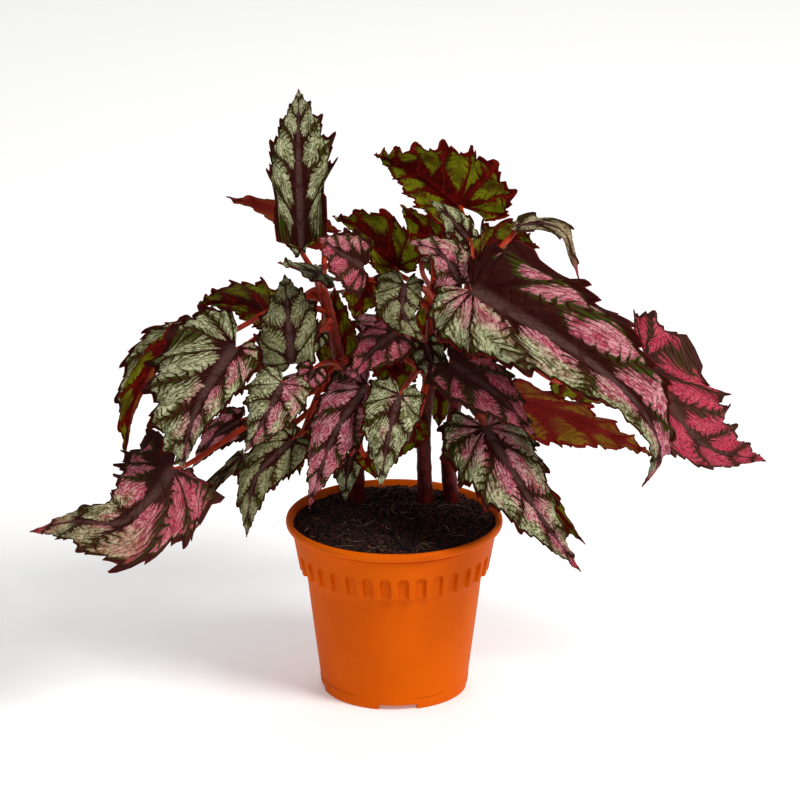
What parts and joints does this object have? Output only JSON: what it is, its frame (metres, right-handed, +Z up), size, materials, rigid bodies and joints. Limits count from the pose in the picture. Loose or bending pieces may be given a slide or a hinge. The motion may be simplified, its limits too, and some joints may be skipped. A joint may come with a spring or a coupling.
{
  "type": "potted rex begonia",
  "caption": "Leafy rex begonia on three upright canes, with silver, pink and plum toothed leaves, standing in soil in a round tapered nursery pot.",
  "frame": {"origin": "centre of the pot's foot, on the surface that the pot stands on", "axes": "+Z up, -Y towards the front that the picture shows, +X to the right of that front"},
  "size_m": [0.5332, 0.2953, 0.4492],
  "materials": {
    "pot_plastic": "satin",
    "potting_soil": "matte",
    "cane_skin": "satin",
    "blade_silver": "satin",
    "blade_pink": "satin",
    "blade_plum": "satin",
    "blade_dark": "satin",
    "blade_red": "satin"
  },
  "bodies": {
    "root": {"pot": "pot_plastic", "soil": "potting_soil", "cane_left": "cane_skin", "cane_centre": "cane_skin", "cane_right": "cane_skin", "leaf_tall": "blade_silver", "leaf_tall_behind": "blade_red", "leaf_pink_crown": "blade_pink", "leaf_crown_edge": "blade_silver", "leaf_red_fan": "blade_red", "leaf_top_fan": "blade_red", "leaf_crown_curl": "blade_dark", "leaf_burgundy": "blade_red", "leaf_right_edge": "blade_silver", "leaf_great": "blade_pink", "leaf_far_right": "blade_pink", "leaf_low_right": "blade_red", "leaf_right_shade": "blade_red", "leaf_plum": "blade_plum", "leaf_front_right": "blade_silver", "leaf_front_right_back": "blade_red", "leaf_front_left": "blade_pink", "leaf_magenta": "blade_plum", "leaf_front": "blade_silver", "leaf_young_crown": "blade_dark", "leaf_silver_crown": "blade_silver", "leaf_left_upright": "blade_silver", "leaf_left_silver": "blade_silver", "leaf_left_arch": "blade_red", "leaf_left_red": "blade_red", "leaf_low_left": "blade_pink", "leaf_low_left_back": "blade_plum", "leaf_left_dull": "blade_silver", "leaf_left_thin": "blade_silver", "leaf_left_pink": "blade_pink", "leaf_young_left": "blade_plum", "leaf_dark_left": "blade_dark", "leaf_olive_upright": "blade_red", "leaf_dark_crown": "blade_red", "leaf_shade_right": "blade_red", "leaf_spotted": "blade_dark", "leaf_olive_low": "blade_red", "leaf_near_soil": "blade_dark", "leaf_red_low": "blade_red", "leaf_left_inner": "blade_red", "leaf_crown_red": "blade_red", "leaf_shade_centre": "blade_red", "leaf_shade_low": "blade_red", "leaf_left_olive": "blade_red", "leaf_back_high": "blade_silver", "leaf_back_left": "blade_pink", "leaf_back_right": "blade_silver", "leaf_back_mid": "blade_pink", "leaf_back_low_right": "blade_silver", "leaf_back_low_left": "blade_plum"}
  },
  "joints": []
}
